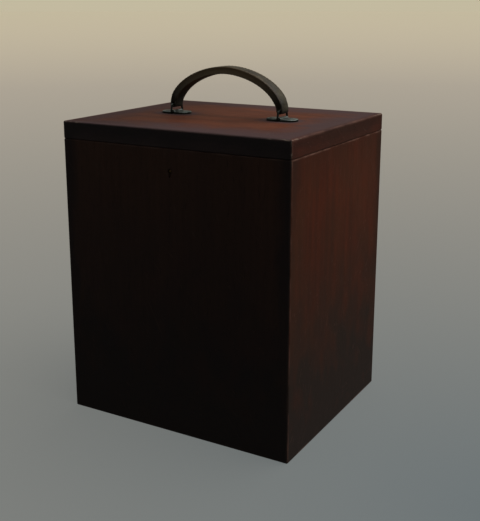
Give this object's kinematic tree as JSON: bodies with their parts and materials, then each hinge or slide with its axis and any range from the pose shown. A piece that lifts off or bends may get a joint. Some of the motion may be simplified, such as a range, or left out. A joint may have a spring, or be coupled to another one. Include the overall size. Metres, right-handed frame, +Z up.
{
  "type": "wooden microscope case",
  "caption": "Upright wooden instrument case with a hinged lid, a lock let into the front and an arched leather carrying handle on wire rings.",
  "frame": {"origin": "centre of the case's plan on the underside that it rests on", "axes": "+Z up, X along the wide front and the carrying handle, -Y out of the front, +Y towards the hinges"},
  "size_m": [0.29, 0.2533, 0.4088],
  "materials": {
    "stained_wood": "stained, worn varnish",
    "plain_wood": "planed, unvarnished",
    "brass_fittings": "tarnished",
    "steel_fittings": "dull, worn",
    "lock_steel": "oiled",
    "handle_leather": "waxed, worn"
  },
  "bodies": {
    "case": {"front_board": "stained_wood", "back_board": "stained_wood", "left_side_board": "stained_wood", "right_side_board": "stained_wood", "bottom_board": "plain_wood", "lid_locating_strip_left": "plain_wood", "lid_locating_strip_right": "plain_wood", "accessory_rack": "plain_wood", "rack_batten_front": "plain_wood", "rack_batten_back": "plain_wood", "foot_guide_left": "plain_wood", "foot_guide_right": "plain_wood", "foot_guide_back": "plain_wood", "bottom_screws": "steel_fittings", "hinge_case_leaf_left": "brass_fittings", "hinge_case_leaf_right": "brass_fittings", "hinge_case_screws": "brass_fittings", "lock_case": "brass_fittings", "lock_cap": "brass_fittings", "lock_key_pin": "brass_fittings", "lock_screws": "brass_fittings", "hinge_pin_left": "brass_fittings", "hinge_pin_right": "brass_fittings"},
    "lid": {"lid_rim_front": "stained_wood", "lid_rim_back": "stained_wood", "lid_rim_left": "stained_wood", "lid_rim_right": "stained_wood", "lid_panel": "stained_wood", "hinge_lid_leaf_left": "brass_fittings", "hinge_lid_leaf_right": "brass_fittings", "hinge_lid_screws": "brass_fittings", "link_plate": "brass_fittings", "link_plate_screws": "brass_fittings", "handle_plate_left": "steel_fittings", "handle_plate_right": "steel_fittings", "handle_plate_screws": "steel_fittings"},
    "lock_bolt": {"lock_bolt": "lock_steel"},
    "handle_ring_left": {"handle_ring_left": "steel_fittings"},
    "handle_ring_right": {"handle_ring_right": "steel_fittings"},
    "handle_grip": {"handle_grip": "handle_leather"}
  },
  "joints": [
    {"name": "lid_hinge", "type": "hinge", "parent": "case", "child": "lid", "pos_m": [0, 0.1258, 0.32985], "axis": [-1, 0, 0], "range_deg": [0, 95]},
    {"name": "lock_bolt_slide", "type": "slide", "parent": "case", "child": "lock_bolt", "axis": [1, 0, 0], "range_m": [0, 0.006]},
    {"name": "left_ring_swing", "type": "hinge", "parent": "lid", "child": "handle_ring_left", "pos_m": [-0.0715, 0, 0.3515], "axis": [0, 1, 0], "range_deg": [-55, 55]},
    {"name": "grip_swing", "type": "hinge", "parent": "handle_ring_left", "child": "handle_grip", "pos_m": [-0.0715, 0, 0.3615], "axis": [0, 1, 0], "range_deg": [-55, 55]},
    {"name": "right_ring_swing", "type": "hinge", "parent": "lid", "child": "handle_ring_right", "pos_m": [0.0715, 0, 0.3515], "axis": [0, 1, 0], "range_deg": [-55, 55]}
  ],
  "couplings": [
    {"joint": "grip_swing", "follows": "left_ring_swing", "ratio": -1},
    {"joint": "right_ring_swing", "follows": "left_ring_swing", "ratio": 1}
  ]
}
